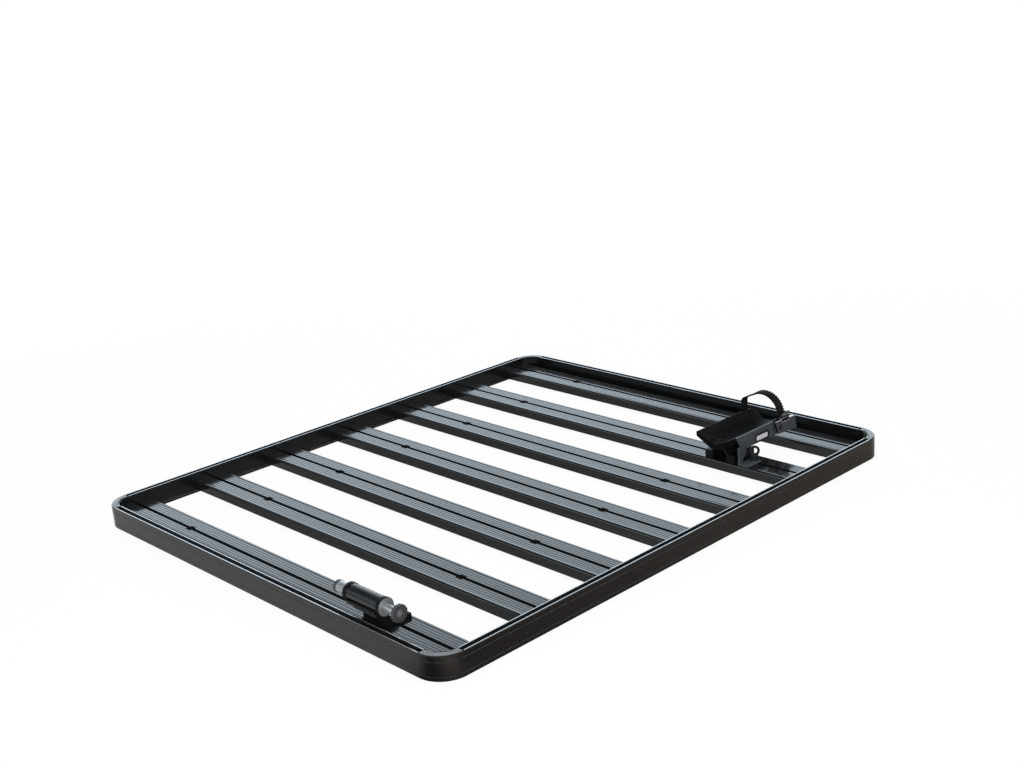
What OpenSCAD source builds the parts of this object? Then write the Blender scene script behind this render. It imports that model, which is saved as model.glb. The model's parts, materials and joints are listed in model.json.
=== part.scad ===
// Roof platform with a fork mount and a strapped rear wheel cradle for one bike.
// +X runs along the slats, +Y towards the rear, +Z up, origin under the middle of the rack.

/* [Rack frame] */
// Overall width of the rack, along the slats
rack_w = 1165; // [1000:5:1400]
// Overall length of the rack, front to rear
rack_l = 1358; // [1220:2:1600]
// Height of the rails
rail_h = 49; // [46:1:56]
// Width of the rails
rail_w = 18; // [16:1:22]
// Wall of the rail extrusion
rail_wall = 2.5; // [2:0.1:3]
// Width of the slot along the top of each rail
rail_slot = 10.5; // [8:0.5:11]
// Depth of the cavity below the top slot
rail_cavity_h = 7; // [6:0.5:9]
// Outer radius of the corner castings
corner_r = 58; // [45:1:65]
// Length of the tongue that a corner casting pushes into a rail
tongue_l = 40; // [30:1:60]

/* [Slats] */
// Distance from each end of the rack to the middle of the nearest slat
slat_margin = 73; // [62:1:90]
// Width of a slat
slat_w = 82; // [76:1:90]
// Height of a slat
slat_h = 22.5; // [21.5:0.5:26]
// Height of the slats' underside above the rails' underside
slat_z = 4.5; // [4:0.5:8]
// Skin of the slat extrusion
slat_wall = 2.6; // [2.2:0.1:3.2]
// Radius along the front and rear top edges of a slat
slat_edge_r = 5; // [3:0.5:7]
// Width of the slot along the top of each slat
slat_slot = 9; // [8.5:0.1:10]
// Distance from the rack's middle to the bolt entries in the slats
entry_x = 328; // [150:1:400]
// Spacing of the grip grooves on the slats
groove_pitch = 7; // [6:0.5:7.5]

/* [Fork mount] */
// Place of the bike's middle plane across the rack
bike_x = 350.5; // [-380:0.5:380]
// Length of the fork tube, the hub width of the bike
tube_l = 100; // [90:1:150]
// Outside diameter of the fork tube
tube_d = 34; // [30:0.5:38]
// Height of the tube's axis above the slats
tube_rise = 56; // [52:1:75]
// How far the tube's axis stands ahead of the slat's slot
tube_ahead = 38; // [30:1:40]
// Diameter of the through axle
axle_d = 15; // [12:0.5:20]
// Room beside the tube for a fork dropout
dropout_gap = 28; // [14:1:34]
// Diameter of the axle knob
knob_d = 34; // [31:1:44]
// Width of the fork block's foot
foot_w = 60; // [58:1:80]
// Distance between the fork block's two bolts
fork_bolt_span = 40; // [34:1:44]

/* [Wheel cradle] */
// Width of the wheel tray over its lips
tray_w = 104; // [96:1:116]
// Height of the tray's flat underside above the slats
tray_rise = 33; // [33:1:45]
// Height of the tray from its underside to its lips
tray_h = 32; // [30:1:40]
// How far the tray reaches ahead of its slat's slot
tray_ahead = 54; // [44:1:70]
// How far the tray reaches behind its slat's slot
tray_behind = 146; // [142:1:170]
// Radius of the tyre's section that the tray's pocket suits
tyre_r = 32; // [20:1:34]
// Radius of the wheel that the tray's pocket suits
wheel_r = 370; // [300:1:380]
// Width of the cradle base
base_w = 82; // [80:1:92]
// Length of the cradle base along the bike
base_l = 76; // [60:1:80]
// Radius of the arch through the cradle base
arch_r = 20; // [14:0.5:20]
// Thickness of the side plate
plate_t = 4; // [3:0.5:5]

/* [Ratchet strap] */
// Width of the strap
strap_w = 22; // [16:1:24]
// Thickness of the strap without its teeth
strap_t = 3; // [2:0.1:3.2]
// Height of the strap's teeth
tooth_h = 2; // [1:0.1:2.2]
// Spacing of the strap's teeth
tooth_pitch = 6.5; // [5:0.5:8]
// Distance from the cradle's slot back to the middle of the strap
strap_y = 129; // [127:1:130]

/* [Fits] */
// Gap all round a seated or plugged piece
seat_gap = 0.2; // [0.1:0.05:0.3]
// Radial gap of a shaft that turns or slides in its bore
run_gap = 0.05; // [0.02:0.01:0.1]
// Gap between pieces that pass one another
pass_gap = 0.5; // [0.4:0.1:0.8]

/* [Hidden] */
$fn = 64;
eps = 0.01;
SLATS = 7;

// Rail section, counted up from the underside
rail_cavity_w = rail_w - 2 * rail_wall;
rail_lip = 3;
channel_z = rail_wall;
channel_h = 10;
channel_slot = 6;
channel_mid = channel_z + channel_h / 2;
tongue_z = channel_z + channel_h + rail_wall;
cavity_floor = rail_h - rail_lip - rail_cavity_h;
tongue_room = cavity_floor - rail_wall - tongue_z;
corner_screw_in = 12;
shadow_h = 5;
shadow_d = 0.8;
shadow_z = [8, rail_h - 12];

// Slat section, counted up from the slat's underside
slat_top = slat_z + slat_h;
slat_pitch = (rack_l - 2 * slat_margin) / (SLATS - 1);
slat_len = rack_w - 2 * rail_w;
slat_cavity_w = 16;
slat_cavity_h = 6.5;
web_t = 3.2;
under_w = 26;
under_h = slat_h - slat_wall - slat_cavity_h - web_t;
chamber_in = under_w / 2 + slat_wall;
chamber_out = slat_w / 2 - slat_wall;
groove_first = slat_slot / 2 + 5.5;
groove_w = 1;
groove_d = 0.5;
grooves = 4;
entry_l = 18;

// Screws and bolts: thread radius, head and nut sizes
m3_r = 1.5;
m4_r = 2;
m5_r = 2.5;
m8_r = 4;
m8_nut_af = 13;
m8_nut_h = 7;
bar_w = 14.5;
bar_h = 4.5;
screw_head_r = 4.6;
screw_head_h = 2.8;
socket_r = 1.7;

// Slat end brackets
bracket_t = 2.5;
bracket_w = 22;
bracket_l = 36;
bracket_screw = 24;
bracket_foot = channel_mid - 5;
rail_nut_af = 8;
rail_nut_h = 4;
rail_bolt_head = 9;
rail_bolt_head_t = 4;

// Fork mount, from a point on the slat's slot
fork_slat = 1;
tube_r = tube_d / 2;
tube_wall = 4;
axle_r = axle_d / 2;
saddle_t = 5;
saddle_w = tube_l - 14;
foot_t = 9;
foot_front = 35;
foot_rear = 34;
web_front = 31;
web_rear = 11;
flare_r = (saddle_w - foot_w) / 2;
flare_z = tube_rise - tube_r - saddle_t - flare_r + 5;
collar_w = 6;
collar_t = 1.2;
cap_t = 3;
cap_plug = 14;
cap_face = tube_l / 2 + cap_t;
shoulder_r = 12;
axle_head_r = 12.5;
axle_head_t = 7;
washer_r = 12;
washer_t = 2;
knob_l = 10;
knob_grip = 7;
thread_l = 7;
tube_screw_span = 60;
tube_screw_tilt = 30;
tube_screw_seat = tube_r + saddle_t - 0.8;

// Wheel cradle, from a point on its slat's slot
wheel_slat = 6;
lip_z = tray_rise + tray_h;
lip_t = 4;
lip_h = 11;
tray_flat = 28;
tray_floor = 12;
tray_screw_in = 3;
pocket_y = 40;
pocket_floor = tray_rise + tray_screw_in + 1;
leg_h = 19;
crown_w = 32;
crown_t = 4;
arch_z = tray_rise - crown_t - arch_r;
arch_wall = 4;
leg_mid = (base_w / 2 + arch_r + arch_wall + 1) / 2;
plate_x = tray_w / 2;
plate_top = lip_z + 2;
plate_bottom = plate_top - 33.5;
plate_front = -45;
plate_rear = 92;
plate_slant = 14;
plate_lead = 21;
stud_x = plate_x + 18;
foot_plate_t = 3;
clamp_knob_r = 9;
clamp_collar_h = 14;
clamp_ring_r = 9.5;
clamp_bar_r = 3;
clamp_sink = 1;
clamp_washer_t = 2;
leg_y = -38;
leg_w = 14;
leg_bend = 22;
leg_bow = 30;
panel_l = 42;
panel_h = 12;
panel_t = 1.2;
panel_sink = 0.8;
panel_r = 3;
panel_y = 48;
panel_z = plate_bottom + 11;
pad_screw_z = [tray_rise + 8, tray_rise + 16];

// Buckle and strap: the strap's tail runs round the anchor pin
pad_x = plate_x - 5;
pad_drop = 1;
pad_bottom = tray_rise + 3;
pad_root = 22;
pad_top = 8;
buckle_t = 1.5;
ear_gap = strap_w + 2;
pad_l = ear_gap + 2 * buckle_t + 4;
anchor_x = -pad_x - 9;
anchor_z = lip_z - 14;
strap_in = pad_x + buckle_t + 2.5 - anchor_x;
strap_out = strap_in + strap_t + tooth_h;
anchor = [anchor_x, anchor_z];
tail_drop = 19;
tail_low = -asin(tail_drop / strap_in);
crest_r = 44;
crest_rise = 20;
crest_high = asin(crest_rise / (strap_in - crest_r));
crest = anchor + (strap_in - crest_r) * [cos(crest_high), sin(crest_high)];
crest_fall = 25;
crest_end = 90 + crest_fall;
strap_left = anchor_x + 3;
bend_r = 12;
bend_x = strap_left + bend_r;
fall_l = (crest[0] - (crest_r - bend_r) * sin(crest_fall) - bend_x) / cos(crest_fall);
bend = [bend_x, crest[1] - fall_l * sin(crest_fall) + (crest_r - bend_r) * cos(crest_fall)];
leg_foot = anchor_z + 3;
tooth_foot = 1.9;
tooth_tip = 1.1;
pin_r = 1.75;
eye_r = 6;
lever_top = lip_z + 2;
lever_pin_x = anchor_x + strap_out + pin_r + 0.6;
lever_pin_z = lever_top - 1.5;
ear_top = lip_z + 12;
ear_bottom = lever_pin_z - 8;
ear_out = lever_pin_x + 2.5;
lever_x = ear_out + pass_gap;
lever_t = 3;
lever_front = plate_rear - 6;
lever_l = 77;
lever_rim = 7;
lever_rim_t = 2;
lever_h = 35;
lever_drop = 4;
cheek_t = 2;
pawl_x = lever_x - 2.4;
pawl_z = anchor_z - 5;
pawl_r = 2.2;
pawl_pin_r = 1;
rivet_y = strap_y - ear_gap / 2 - 9.5;
rivet_z = lever_top - 17;
tab_x = lever_pin_x + 0.6;
tab_z = lever_top + 6.5;
tab_w = ear_gap - 8;
tab_r = 3.4;
spring_wire = 0.7;
spring_turns = 3;

// Place of a slat's middle, counted from the front
function slat_y(k) = (k - (SLATS + 1) / 2) * slat_pitch;

// Places of the two screws through the side plate
function plate_screw_y(s) = 24 + s * 40;

// Points on an arc round a centre, from one angle up to just before another
function arc_points(c, r, from, to, n) = [for (i = [0 : n - 1])
    let (a = from + (to - from) * i / n) c + r * [cos(a), sin(a)]];

// Four corners for each tooth outside an arc
function teeth_points(c, r, from, to) =
    let (n = floor((to - from) * PI / 180 * r / tooth_pitch), step = (to - from) / n)
    [for (i = [0 : n - 1], k = [[-tooth_foot, 0], [-tooth_tip, tooth_h], [tooth_tip, tooth_h],
        [tooth_foot, 0]])
        let (a = from + step * (i + 0.5) + k[0] / r * 180 / PI) c + (r + k[1]) * [cos(a), sin(a)]];

// Height of the lever's top edge at a place along the bike
function lever_edge(y) = lever_top - lever_drop * (y - lever_front) / lever_l;

// Across position of a point at a distance from the anchor, at a height
function from_anchor(r, z) = anchor_x + sqrt(r * r - pow(z - anchor_z, 2));

// Frame extrusions

module rail_outline() {
    difference() {
        translate([-rail_w / 2, 0]) square([rail_w, rail_h]);
        for (z = shadow_z)
            translate([-rail_w / 2 - shadow_d, z]) square([2 * shadow_d, shadow_h]);
    }
}

// Hollow section with a slot on top and a bolt channel on the inner side
module rail_section() {
    difference() {
        rail_outline();
        translate([-rail_slot / 2, rail_h - rail_lip - eps]) square([rail_slot, rail_lip + 1]);
        translate([-rail_cavity_w / 2, cavity_floor])
            square([rail_cavity_w, rail_cavity_h]);
        translate([-rail_cavity_w / 2, tongue_z]) square([rail_cavity_w, tongue_room]);
        translate([-rail_cavity_w / 2, channel_z]) square([rail_cavity_w, channel_h]);
        translate([0, channel_mid - channel_slot / 2]) square([rail_w, channel_slot]);
    }
}

// A rail of the given length along X, its inner side towards +Y, bored for the corner screws
module rail(length) {
    difference() {
        rotate([90, 0, 90]) linear_extrude(length, center = true) rail_section();
        for (s = [-1, 1])
            translate([s * (length / 2 - tongue_l / 2), 0, cavity_floor - rail_wall - eps])
                cylinder(r = m4_r + seat_gap, h = rail_wall + 2 * eps);
    }
}

module front_rail() {
    color("#3a3c3f")
        translate([0, -rack_l / 2 + rail_w / 2, 0]) rail(rack_w - 2 * corner_r);
}

module rear_rail() {
    color("#3a3c3f")
        rotate([0, 0, 180]) translate([0, -rack_l / 2 + rail_w / 2, 0]) rail(rack_w - 2 * corner_r);
}

module side_rail() {
    translate([0, -rack_w / 2 + rail_w / 2, 0]) rail(rack_l - 2 * corner_r);
}

module left_rail() {
    color("#3a3c3f") rotate([0, 0, -90]) side_rail();
}

module right_rail() {
    color("#3a3c3f") rotate([0, 0, 90]) side_rail();
}

// One tongue along +X from the end of a rail, its inner side towards +Y
module tongue() {
    room = tongue_room - 2 * seat_gap;
    wide = rail_cavity_w - 2 * seat_gap;
    difference() {
        translate([-1, -wide / 2, tongue_z + seat_gap]) cube([tongue_l + 1, wide, room]);
        translate([tongue_l / 2, 0, cavity_floor - rail_wall - corner_screw_in - 1])
            cylinder(r = m4_r + run_gap, h = corner_screw_in + 2);
    }
}

// Quarter ring with a tongue for each of the two rails that meet in it
module corner() {
    rotate([0, 0, 180]) rotate_extrude(angle = 90)
        translate([corner_r - rail_w / 2, 0]) mirror([1, 0]) rail_outline();
    translate([0, -corner_r + rail_w / 2, 0]) tongue();
    translate([-corner_r + rail_w / 2, 0, 0]) mirror([1, -1, 0]) tongue();
}

module corner_at(sx, sy) {
    translate([sx * (rack_w / 2 - corner_r), sy * (rack_l / 2 - corner_r), 0])
        mirror([sx > 0 ? 1 : 0, 0, 0]) mirror([0, sy > 0 ? 1 : 0, 0]) corner();
}

module corner_front_left() { color("#45484c") corner_at(-1, -1); }

module corner_front_right() { color("#45484c") corner_at(1, -1); }

module corner_rear_left() { color("#45484c") corner_at(-1, 1); }

module corner_rear_right() { color("#45484c") corner_at(1, 1); }

// Round head at z = 0 and above, shank below
module round_screw(shank_l) {
    difference() {
        cylinder(r = screw_head_r, h = screw_head_h);
        translate([0, 0, screw_head_h / 2]) cylinder(r = socket_r, h = screw_head_h, $fn = 6);
    }
    translate([0, 0, -shank_l]) cylinder(r = m5_r, h = shank_l + eps);
}

// Slim screw that goes down through a rail's top slot into a tongue
module tongue_screw() {
    difference() {
        cylinder(r = rail_slot / 2 - pass_gap, h = screw_head_h);
        translate([0, 0, screw_head_h / 2]) cylinder(r = socket_r, h = screw_head_h, $fn = 6);
    }
    translate([0, 0, -rail_wall - corner_screw_in])
        cylinder(r = m4_r, h = rail_wall + corner_screw_in + eps);
}

module corner_screws() {
    side_x = rack_w / 2 - rail_w / 2;
    side_y = rack_l / 2 - corner_r - tongue_l / 2;
    end_x = rack_w / 2 - corner_r - tongue_l / 2;
    end_y = rack_l / 2 - rail_w / 2;
    color("#8d9094") for (sx = [-1, 1], sy = [-1, 1]) {
        translate([sx * end_x, sy * end_y, cavity_floor]) tongue_screw();
        translate([sx * side_x, sy * side_y, cavity_floor]) tongue_screw();
    }
}

// Slats

module slat_outline() {
    translate([-slat_w / 2, 0]) square([slat_w, slat_h - slat_edge_r]);
    translate([-slat_w / 2 + slat_edge_r, 0]) square([slat_w - 2 * slat_edge_r, slat_h]);
    for (s = [-1, 1])
        translate([s * (slat_w / 2 - slat_edge_r), slat_h - slat_edge_r]) circle(r = slat_edge_r);
}

// Two closed chambers, a slot with a cavity on top and an open channel for the end brackets below
module slat_section() {
    difference() {
        slat_outline();
        translate([-slat_slot / 2, slat_h - slat_wall - eps]) square([slat_slot, slat_wall + 1]);
        translate([-slat_cavity_w / 2, slat_h - slat_wall - slat_cavity_h])
            square([slat_cavity_w, slat_cavity_h]);
        translate([-under_w / 2, -1]) square([under_w, under_h + 1]);
        for (s = [0, 1]) mirror([s, 0]) {
            translate([chamber_in, slat_wall])
                square([chamber_out - slat_edge_r - chamber_in, slat_h - 2 * slat_wall]);
            translate([chamber_in, slat_wall])
                square([chamber_out - chamber_in, slat_h - 2 * slat_wall - slat_edge_r]);
            for (k = [0 : grooves - 1])
                translate([groove_first + k * groove_pitch - groove_w / 2, slat_h - groove_d])
                    square([groove_w, groove_d + 1]);
        }
    }
}

// What an end slat loses so that it follows a corner casting's inner face
module corner_cope() {
    difference() {
        cube([corner_r, corner_r, slat_h + 2]);
        translate([0, 0, -1]) cylinder(r = corner_r - rail_w - pass_gap, h = slat_h + 4);
    }
}

module slat(k) {
    color("#8e969d") translate([0, slat_y(k), slat_z]) difference() {
        rotate([90, 0, 90]) linear_extrude(slat_len, center = true) slat_section();
        for (s = [-1, 1]) {
            translate([s * entry_x - entry_l / 2, -slat_cavity_w / 2, slat_h - slat_wall - eps])
                cube([entry_l, slat_cavity_w, slat_wall + 1]);
            translate([s * (slat_len / 2 - bracket_screw), 0, under_h - eps])
                cylinder(r = m5_r + run_gap, h = web_t + 2 * eps);
        }
        if (k == 1 || k == SLATS)
            for (s = [0, 1]) mirror([s, 0, 0])
                translate([rack_w / 2 - corner_r, sign(slat_y(k)) * (rack_l / 2 - corner_r) - slat_y(k), -1])
                    mirror([0, slat_y(k) < 0 ? 1 : 0, 0]) corner_cope();
    }
}

module slat_1() { slat(1); }

module slat_2() { slat(2); }

module slat_3() { slat(3); }

module slat_4() { slat(4); }

module slat_5() { slat(5); }

module slat_6() { slat(6); }

module slat_7() { slat(7); }

// Runs its children at both ends of every slat, with +X pointing out to the rail's inner face
module at_slat_ends() {
    for (k = [1 : SLATS], s = [0, 1])
        translate([0, slat_y(k), 0]) mirror([s, 0, 0]) translate([slat_len / 2, 0, 0]) children();
}

module slat_brackets() {
    top = slat_z + under_h;
    color("#5b5e62") at_slat_ends() difference() {
        union() {
            translate([-bracket_l, -bracket_w / 2, top - bracket_t])
                cube([bracket_l, bracket_w, bracket_t]);
            translate([-bracket_t, -bracket_w / 2, bracket_foot])
                cube([bracket_t, bracket_w, top - bracket_foot]);
        }
        translate([-bracket_screw, 0, top - bracket_t - 1]) cylinder(r = m5_r + seat_gap, h = bracket_t + 2);
        translate([-bracket_t - 1, 0, channel_mid])
            rotate([0, 90, 0]) cylinder(r = m5_r + seat_gap, h = bracket_t + 2);
    }
}

// Bolts with their square heads in the rails' inner channel
module rail_bolts() {
    color("#8d9094") at_slat_ends() translate([rail_wall, 0, channel_mid]) {
        translate([0, -rail_bolt_head / 2, -rail_bolt_head / 2])
            cube([rail_bolt_head_t, rail_bolt_head, rail_bolt_head]);
        translate([-rail_wall - bracket_t - rail_nut_h - 2, 0, 0])
            rotate([0, 90, 0]) cylinder(r = m5_r, h = rail_wall + bracket_t + rail_nut_h + 2 + eps);
    }
}

module nut(across_flats, height, bore_r) {
    difference() {
        rotate([0, 0, 30]) cylinder(d = across_flats / cos(30), h = height, $fn = 6);
        translate([0, 0, -1]) cylinder(r = bore_r + run_gap, h = height + 2);
    }
}

module rail_nuts() {
    color("#8d9094") at_slat_ends() translate([-bracket_t - rail_nut_h, 0, channel_mid])
        rotate([0, 90, 0]) nut(rail_nut_af, rail_nut_h, m5_r);
}

module slat_screws() {
    color("#8d9094") at_slat_ends()
        translate([-bracket_screw, 0, slat_z + under_h - bracket_t]) mirror([0, 0, 1])
            round_screw(bracket_t + web_t);
}

// Stud on a bar in a slat's cavity, standing up to the given height above the slat
module slot_stud(bar_l, height) {
    translate([-bar_l / 2, -bar_w / 2, -slat_wall - bar_h]) cube([bar_l, bar_w, bar_h]);
    translate([0, 0, -slat_wall - eps]) cylinder(r = m8_r, h = height + slat_wall + eps);
}

// Bar with two studs, long enough to be held on both sides of a bolt entry
module stud_bar(span, height) {
    for (s = [-1, 1])
        translate([s * span / 2, 0, 0]) slot_stud(bar_w, height);
    translate([-span / 2 - entry_l, -bar_w / 2, -slat_wall - bar_h])
        cube([span + 2 * entry_l, bar_w, bar_h]);
}

// Fork mount

module at_fork() {
    translate([bike_x, slat_y(fork_slat), slat_top]) children();
}

// Runs its children with +Z along the tube's axis, pointing to +X
module at_tube(x = 0) {
    at_fork() translate([x, -tube_ahead, tube_rise]) rotate([0, 90, 0]) children();
}

// Side view of the fork block: foot, leaning web and saddle
module fork_block_side() {
    difference() {
        union() {
            translate([-foot_front, 0]) square([foot_front + foot_rear, foot_t]);
            polygon([[-web_front, 0], [-web_rear, 0], [-web_rear, foot_t], [-web_rear - 4, 22],
                [-tube_ahead + tube_r / 2, tube_rise - tube_r - 1], [-tube_ahead - tube_r, tube_rise - 10],
                [-tube_ahead - 8, 30], [-web_front, 18]]);
            translate([-tube_ahead, tube_rise]) circle(r = tube_r + saddle_t);
        }
        translate([-tube_ahead, tube_rise]) circle(r = tube_r + run_gap);
        translate([-tube_ahead, tube_rise])
            polygon([[-60, -18], [0, 0], [60, -4], [60, 80], [-60, 80]]);
    }
}

// Front view of the fork block: a narrow foot that flares out to the saddle
module fork_block_front() {
    difference() {
        translate([-saddle_w / 2, 0]) square([saddle_w, tube_rise + tube_r]);
        for (s = [-1, 1]) {
            translate([s * (foot_w / 2 + flare_r) - flare_r, -1]) square([2 * flare_r, flare_z + 1]);
            translate([s * (foot_w / 2 + flare_r), flare_z]) circle(r = flare_r);
        }
    }
}

// Runs its children on a tube screw's axis, pointing out of the tube to the rear and down
module at_tube_screw(s) {
    translate([s * tube_screw_span / 2, -tube_ahead, tube_rise])
        rotate([-90 - tube_screw_tilt, 0, 0]) children();
}

module fork_block() {
    color("#1b1c1e") at_fork() difference() {
        intersection() {
            rotate([90, 0, 90]) linear_extrude(saddle_w, center = true) fork_block_side();
            rotate([90, 0, 0]) linear_extrude(4 * (tube_ahead + foot_rear), center = true) fork_block_front();
        }
        for (s = [-1, 1]) {
            translate([s * fork_bolt_span / 2, 0, -1]) cylinder(r = m8_r + seat_gap, h = foot_t + 2);
            at_tube_screw(s) cylinder(r = m5_r + seat_gap, h = tube_r + saddle_t + 1);
            at_tube_screw(s) translate([0, 0, tube_screw_seat])
                cylinder(r = screw_head_r + seat_gap, h = screw_head_h + 1);
        }
    }
}

module fork_tube() {
    color("#4a4d51") difference() {
        at_tube() cylinder(r = tube_r, h = tube_l, center = true);
        at_tube() cylinder(r = tube_r - tube_wall, h = tube_l + 2, center = true);
        for (s = [-1, 1])
            at_fork() at_tube_screw(s) cylinder(r = m5_r + run_gap, h = tube_r + 1);
    }
}

module tube_screws() {
    color("#8d9094") for (s = [-1, 1])
        at_fork() at_tube_screw(s) translate([0, 0, tube_screw_seat])
            round_screw(tube_screw_seat - tube_r + tube_wall);
}

module tube_collars() {
    color("#101112") for (s = [-1, 1])
        at_tube(s * (tube_l / 2 - collar_w / 2)) difference() {
            cylinder(r = tube_r + collar_t, h = collar_w, center = true);
            cylinder(r = tube_r + run_gap, h = collar_w + 2, center = true);
        }
}

// Plug with a flange on the tube's end and a running bore for the axle
module axle_cap(s) {
    color("#b9bcc0") at_tube(s * tube_l / 2) mirror([0, 0, s < 0 ? 1 : 0]) difference() {
        union() {
            cylinder(r = tube_r, h = cap_t);
            translate([0, 0, -cap_plug]) cylinder(r = tube_r - tube_wall - run_gap, h = cap_plug + eps);
        }
        translate([0, 0, -cap_plug - 1]) cylinder(r = axle_r + run_gap, h = cap_plug + cap_t + 2);
    }
}

module axle_cap_left() { axle_cap(-1); }

module axle_cap_right() { axle_cap(1); }

module fork_stud_bar() {
    color("#8d9094") at_fork() stud_bar(fork_bolt_span, foot_t + m8_nut_h + 2);
}

module fork_nuts() {
    color("#8d9094") at_fork() for (s = [-1, 1])
        translate([s * fork_bolt_span / 2, 0, foot_t]) nut(m8_nut_af, m8_nut_h, m8_r);
}

// Shoulder against the left cap and a shaft that reaches into the knob
module fork_axle() {
    start = -cap_face - dropout_gap;
    stop = cap_face + dropout_gap + washer_t + thread_l;
    color("#c9ccd0") {
        at_tube(start) cylinder(r = shoulder_r, h = dropout_gap - 0.3);
        at_tube(start) cylinder(r = axle_r, h = stop - start);
    }
}

module axle_head() {
    color("#2b2d30") at_tube(-cap_face - dropout_gap - axle_head_t) difference() {
        cylinder(r = axle_head_r, h = axle_head_t);
        translate([0, 0, -1]) cylinder(r = 4.6, h = 6, $fn = 6);
    }
}

module knob_washer() {
    color("#c9ccd0") at_tube(cap_face + dropout_gap) difference() {
        cylinder(r = washer_r, h = washer_t);
        translate([0, 0, -1]) cylinder(r = axle_r + run_gap, h = washer_t + 2);
    }
}

// Fluted knob with a threaded bore through it
module axle_knob() {
    flutes = 12;
    color("#3d4044") at_tube(cap_face + dropout_gap + washer_t) difference() {
        union() {
            cylinder(r = washer_r + 1, h = knob_l - knob_grip + eps);
            translate([0, 0, knob_l - knob_grip]) cylinder(r = knob_d / 2, h = knob_grip);
        }
        for (a = [0 : 360 / flutes : 359])
            rotate([0, 0, a]) translate([knob_d / 2 + 1.6, 0, knob_l - knob_grip - 1])
                cylinder(r = 2.6, h = knob_grip + 2, $fn = 24);
        translate([0, 0, -1]) cylinder(r = axle_r + run_gap, h = knob_l + 2);
    }
}

// Wheel cradle

module at_cradle() {
    translate([bike_x, slat_y(wheel_slat), slat_top]) children();
}

// Extrudes a front view, drawn in X and Z, from one y to another
module along_y(from, to) {
    translate([0, to, 0]) rotate([90, 0, 0]) linear_extrude(to - from) children();
}

// Bridge with two bolted legs and an arch between them
module cradle_base() {
    color("#141516") at_cradle() difference() {
        along_y(-base_l / 2, base_l / 2) difference() {
            polygon([[-base_w / 2, 0], [-base_w / 2, leg_h], [-arch_r - arch_wall, leg_h],
                [-crown_w / 2, tray_rise], [crown_w / 2, tray_rise],
                [arch_r + arch_wall, leg_h], [base_w / 2, leg_h], [base_w / 2, 0]]);
            translate([0, arch_z]) circle(r = arch_r);
            translate([-arch_r, -1]) square([2 * arch_r, arch_z + 1]);
        }
        for (s = [-1, 1]) {
            translate([s * leg_mid, 0, -1]) cylinder(r = m8_r + seat_gap, h = leg_h + 2);
            translate([0, s * base_l / 4, 0]) cylinder(r = m5_r + seat_gap, h = tray_rise + 1);
            translate([0, s * base_l / 4, 0]) cylinder(r = screw_head_r + seat_gap, h = tray_rise - crown_t);
        }
    }
}

module cradle_stud_bar() {
    color("#8d9094") at_cradle() stud_bar(2 * leg_mid, leg_h + m8_nut_h + 1);
}

module cradle_nuts() {
    color("#8d9094") at_cradle() for (s = [-1, 1])
        translate([s * leg_mid, 0, leg_h]) nut(m8_nut_af, m8_nut_h, m8_r);
}

// Section of the tray: a shallow trough with upright lips
module tray_section() {
    half = tray_w / 2;
    polygon([[-half, lip_z], [-half, lip_z - lip_h], [-tray_flat / 2, tray_rise],
        [tray_flat / 2, tray_rise], [half, lip_z - lip_h], [half, lip_z],
        [half - lip_t, lip_z], [tray_flat / 3, tray_rise + tray_floor],
        [-tray_flat / 3, tray_rise + tray_floor], [-half + lip_t, lip_z]]);
}

// The tyre that the pocket suits, standing in the tray
module tyre() {
    translate([0, pocket_y, pocket_floor + wheel_r]) rotate([0, 90, 0])
        rotate_extrude($fn = 96) translate([wheel_r - tyre_r, 0]) circle(r = tyre_r);
}

// Trough with a pocket for the tyre, lips cut back at the strap and pads for the buckle and anchor
module wheel_tray() {
    color("#1d1e20") at_cradle() difference() {
        union() {
            difference() {
                along_y(-tray_ahead, tray_behind) tray_section();
                for (s = [0, 1]) mirror([s, 0, 0])
                    translate([pad_x, strap_y - pad_l / 2, 0]) cube([plate_x, pad_l, lip_z + 1]);
            }
            for (s = [0, 1]) mirror([s, 0, 0])
                along_y(strap_y - pad_l / 2, strap_y + pad_l / 2)
                    polygon([[pad_x, lip_z - pad_drop], [pad_x, pad_bottom], [pad_x - pad_root, pad_bottom],
                        [pad_x - pad_top, lip_z - lip_h / 2]]);
        }
        tyre();
        for (s = [-1, 1]) {
            translate([0, s * base_l / 4, tray_rise - 1])
                cylinder(r = m5_r + run_gap, h = tray_screw_in + 1);
            translate([plate_x - 7, plate_screw_y(s), lip_z - lip_h / 2])
                rotate([0, 90, 0]) cylinder(r = m5_r + run_gap, h = 10);
            for (z = pad_screw_z)
                translate([s * (pad_x - 6), strap_y, z])
                    rotate([0, 90 * s, 0]) cylinder(r = m3_r + run_gap, h = 10);
        }
    }
}

module tray_screws() {
    color("#8d9094") at_cradle() for (s = [-1, 1])
        translate([0, s * base_l / 4, tray_rise - crown_t]) mirror([0, 0, 1])
            round_screw(crown_t + tray_screw_in);
}

// Outline of the side plate and its curved leg, seen from the side
module plate_outline() {
    difference() {
        union() {
            polygon([[plate_front, plate_top], [plate_front + plate_lead, plate_bottom],
                [plate_rear + plate_slant, plate_bottom], [plate_rear, plate_top]]);
            translate([leg_y, 0]) square([2 * leg_w, plate_bottom + 8]);
        }
        translate([leg_y + leg_w + leg_bend, 0]) circle(r = leg_bend);
        translate([leg_y - leg_bow, plate_bottom / 2]) circle(r = leg_bow + 1.5);
    }
}

// Runs its children in the panel's recess, with +Z pointing out of the side plate
module at_panel() {
    translate([plate_x + plate_t - panel_sink, panel_y, panel_z]) rotate([90, 0, 90]) children();
}

// Rectangle about the origin with round corners
module round_corners(length, height, r) {
    square([length, height - 2 * r], center = true);
    square([length - 2 * r, height], center = true);
    for (x = [-1, 1], y = [-1, 1])
        translate([x * (length / 2 - r), y * (height / 2 - r)]) circle(r = r);
}

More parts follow.
